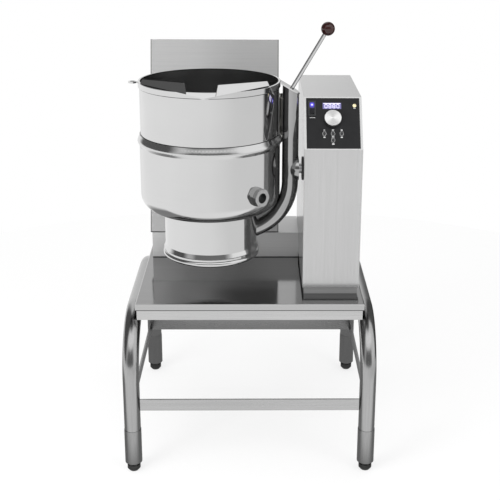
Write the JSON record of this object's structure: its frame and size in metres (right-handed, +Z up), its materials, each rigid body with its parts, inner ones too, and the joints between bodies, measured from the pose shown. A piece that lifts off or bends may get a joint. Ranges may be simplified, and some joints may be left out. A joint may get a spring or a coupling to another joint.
{
  "type": "steam jacketed kettle",
  "caption": "Electric tilting steam jacketed kettle with a pouring beak and a hand lever, hung beside a control console on an open tube stand with levelling feet.",
  "frame": {"origin": "on the floor, at the centre of the overall width and depth", "axes": "+Z up, -Y to the front where the operator stands, +X to the operator's right, where the console is"},
  "size_m": [0.7832, 0.7905, 1.376],
  "materials": {
    "brushed_stainless": "satin brushed stainless sheet and tube",
    "polished_stainless": "mirror polished stainless steel",
    "machined_steel": "turned and ground steel",
    "bearing_iron": "painted cast iron",
    "painted_bracket": "grey powder coat",
    "plinth_grey": "dark satin grey",
    "overlay_black": "satin black printed sheet, plain",
    "window_tint": "tinted acrylic over a lit display",
    "switch_black": "moulded black plastic",
    "knob_metal": "spun aluminium",
    "key_grey": "moulded plastic with a plain raised oval",
    "lamp_amber": "diffusing plastic lens",
    "board_green": "solder resist",
    "contactor_case": "moulded case",
    "terminal_case": "moulded clamps on a plated rail",
    "gland_black": "nylon",
    "seal_black": "moulded seal",
    "element_sheath": "nickel alloy sheath",
    "ball_burgundy": "dark phenolic ball",
    "sight_glass": "thick glass disc",
    "valve_brass": "nickel plated brass"
  },
  "bodies": {
    "stand": {"back_panel": "brushed_stainless", "bearing_bracket": "painted_bracket", "cable_gland": "gland_black", "console_back_cover": "brushed_stainless", "console_housing": "brushed_stainless", "console_plinth": "plinth_grey", "contactor": "contactor_case", "control_board": "board_green", "control_overlay": "overlay_black", "deck_pan": "brushed_stainless", "display_window": "window_tint", "front_cross_rail": "brushed_stainless", "indicator_lamp": "lamp_amber", "left_leg_frame": "brushed_stainless", "leg_end_fittings": "brushed_stainless", "rear_cross_rail": "brushed_stainless", "right_leg_frame": "brushed_stainless", "riser_box": "brushed_stainless", "shaft_seal": "seal_black", "sheet_screws": "machined_steel", "side_rails": "brushed_stainless", "switch_bezel": "switch_black", "terminal_strip": "terminal_case", "tilt_stops": "machined_steel", "top_rails": "brushed_stainless", "trunnion_bearings": "bearing_iron"},
    "kettle": {"bowl": "polished_stainless", "rim_ring": "polished_stainless", "pouring_beak": "polished_stainless", "guard_plates": "polished_stainless", "rim_eye": "polished_stainless", "steam_jacket": "polished_stainless", "jacket_seam": "polished_stainless", "element_drum": "polished_stainless", "base_ring": "polished_stainless", "base_cover": "brushed_stainless", "sump_plate": "brushed_stainless", "heating_elements": "element_sheath", "carrier_tube": "polished_stainless", "rim_bracket": "brushed_stainless", "trunnion_boss": "polished_stainless", "lever_rod": "polished_stainless", "lever_ball": "ball_burgundy", "sight_glass_nut": "polished_stainless", "sight_glass_lens": "sight_glass", "relief_valve": "valve_brass", "trunnion_shaft": "machined_steel", "shaft_collar_and_stop_arm": "machined_steel"},
    "relief_test_lever": {"relief_lever": "valve_brass"},
    "rocker": {"power_rocker": "switch_black"},
    "knob": {"control_knob": "knob_metal", "encoder_shaft": "machined_steel"},
    "key_left": {"key_left": "key_grey"},
    "key_middle": {"key_middle": "key_grey"},
    "key_right": {"key_right": "key_grey"},
    "key_lower": {"key_lower": "key_grey"},
    "front_left_foot": {"front_left_foot": "brushed_stainless"},
    "front_right_foot": {"front_right_foot": "brushed_stainless"},
    "rear_left_foot": {"rear_left_foot": "brushed_stainless"},
    "rear_right_foot": {"rear_right_foot": "brushed_stainless"}
  },
  "joints": [
    {"name": "kettle_tilt", "type": "hinge", "parent": "stand", "child": "kettle", "pos_m": [0.152, -0.10069, 0.9202], "axis": [1, 0, 0], "range_deg": [0, 90]},
    {"name": "relief_lever_lift", "type": "hinge", "parent": "kettle", "child": "relief_test_lever", "pos_m": [0.09417, 0.0579, 1.124], "axis": [0.5878, -0.809, 0], "range_deg": [0, 30], "stiffness_Nm_per_rad": 0.4, "springref_deg": -17.19},
    {"name": "power_switch", "type": "hinge", "parent": "stand", "child": "rocker", "pos_m": [0.1905, -0.10198, 1.1103], "axis": [1, 0, 0], "range_deg": [0, 16]},
    {"name": "knob_turn", "type": "hinge", "parent": "stand", "child": "knob", "pos_m": [0.2535, -0.12348, 1.0808], "axis": [0, -0.8161, 0.5779], "continuous": true},
    {"name": "key_left_press", "type": "slide", "parent": "stand", "child": "key_left", "axis": [0, 0.8161, -0.5779], "range_m": [0, 0.0006], "stiffness_N_per_m": 400, "springref_m": -0.001},
    {"name": "key_middle_press", "type": "slide", "parent": "stand", "child": "key_middle", "axis": [0, 0.8161, -0.5779], "range_m": [0, 0.0006], "stiffness_N_per_m": 400, "springref_m": -0.001},
    {"name": "key_right_press", "type": "slide", "parent": "stand", "child": "key_right", "axis": [0, 0.8161, -0.5779], "range_m": [0, 0.0006], "stiffness_N_per_m": 400, "springref_m": -0.001},
    {"name": "key_lower_press", "type": "slide", "parent": "stand", "child": "key_lower", "axis": [0, 0.8161, -0.5779], "range_m": [0, 0.0006], "stiffness_N_per_m": 400, "springref_m": -0.001},
    {"name": "front_left_foot_height", "type": "slide", "parent": "stand", "child": "front_left_foot", "axis": [0, 0, -1], "range_m": [0, 0.02]},
    {"name": "front_right_foot_height", "type": "slide", "parent": "stand", "child": "front_right_foot", "axis": [0, 0, -1], "range_m": [0, 0.02]},
    {"name": "rear_left_foot_height", "type": "slide", "parent": "stand", "child": "rear_left_foot", "axis": [0, 0, -1], "range_m": [0, 0.02]},
    {"name": "rear_right_foot_height", "type": "slide", "parent": "stand", "child": "rear_right_foot", "axis": [0, 0, -1], "range_m": [0, 0.02]}
  ]
}
